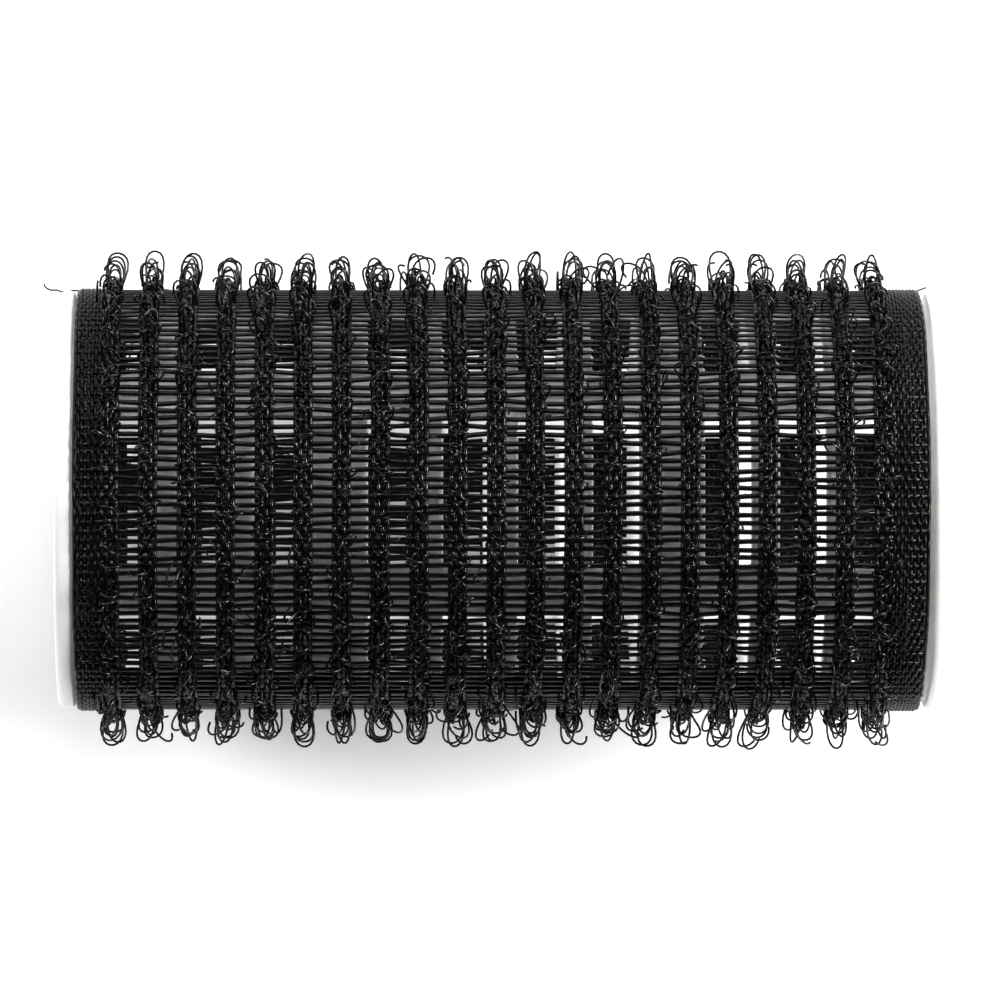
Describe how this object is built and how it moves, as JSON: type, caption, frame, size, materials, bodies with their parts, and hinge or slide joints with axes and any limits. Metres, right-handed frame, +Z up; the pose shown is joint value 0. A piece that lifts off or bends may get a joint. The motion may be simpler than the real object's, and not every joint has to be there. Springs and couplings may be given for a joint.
{
  "type": "hair roller",
  "caption": "Self-grip hair roller: a white open plastic cage wrapped in black ladder-woven tape with rows of gripping nylon loops.",
  "frame": {"origin": "the middle of the roller's axis, halfway between its two ends", "axes": "+X along the roller's axis, +Z up as the roller lies on its side, and the tape's cut end faces -Y"},
  "size_m": [0.063, 0.036, 0.036],
  "materials": {
    "cage_plastic": "white polypropylene, slightly translucent, satin from the mould",
    "tape_weave": "black woven nylon, ladder openings between the pile rows, ribbed plain weave at the edges",
    "pile_loops": "black nylon monofilament in standing loops, slightly shiny"
  },
  "bodies": {
    "root": {"core_cage": "cage_plastic", "tape_ground": "tape_weave", "pile_row_01": "pile_loops", "pile_row_02": "pile_loops", "pile_row_03": "pile_loops", "pile_row_04": "pile_loops", "pile_row_05": "pile_loops", "pile_row_06": "pile_loops", "pile_row_07": "pile_loops", "pile_row_08": "pile_loops", "pile_row_09": "pile_loops", "pile_row_10": "pile_loops", "pile_row_11": "pile_loops", "pile_row_12": "pile_loops", "pile_row_13": "pile_loops", "pile_row_14": "pile_loops", "pile_row_15": "pile_loops", "pile_row_16": "pile_loops", "pile_row_17": "pile_loops", "pile_row_18": "pile_loops", "pile_row_19": "pile_loops", "pile_row_20": "pile_loops", "pile_row_21": "pile_loops"}
  },
  "joints": []
}
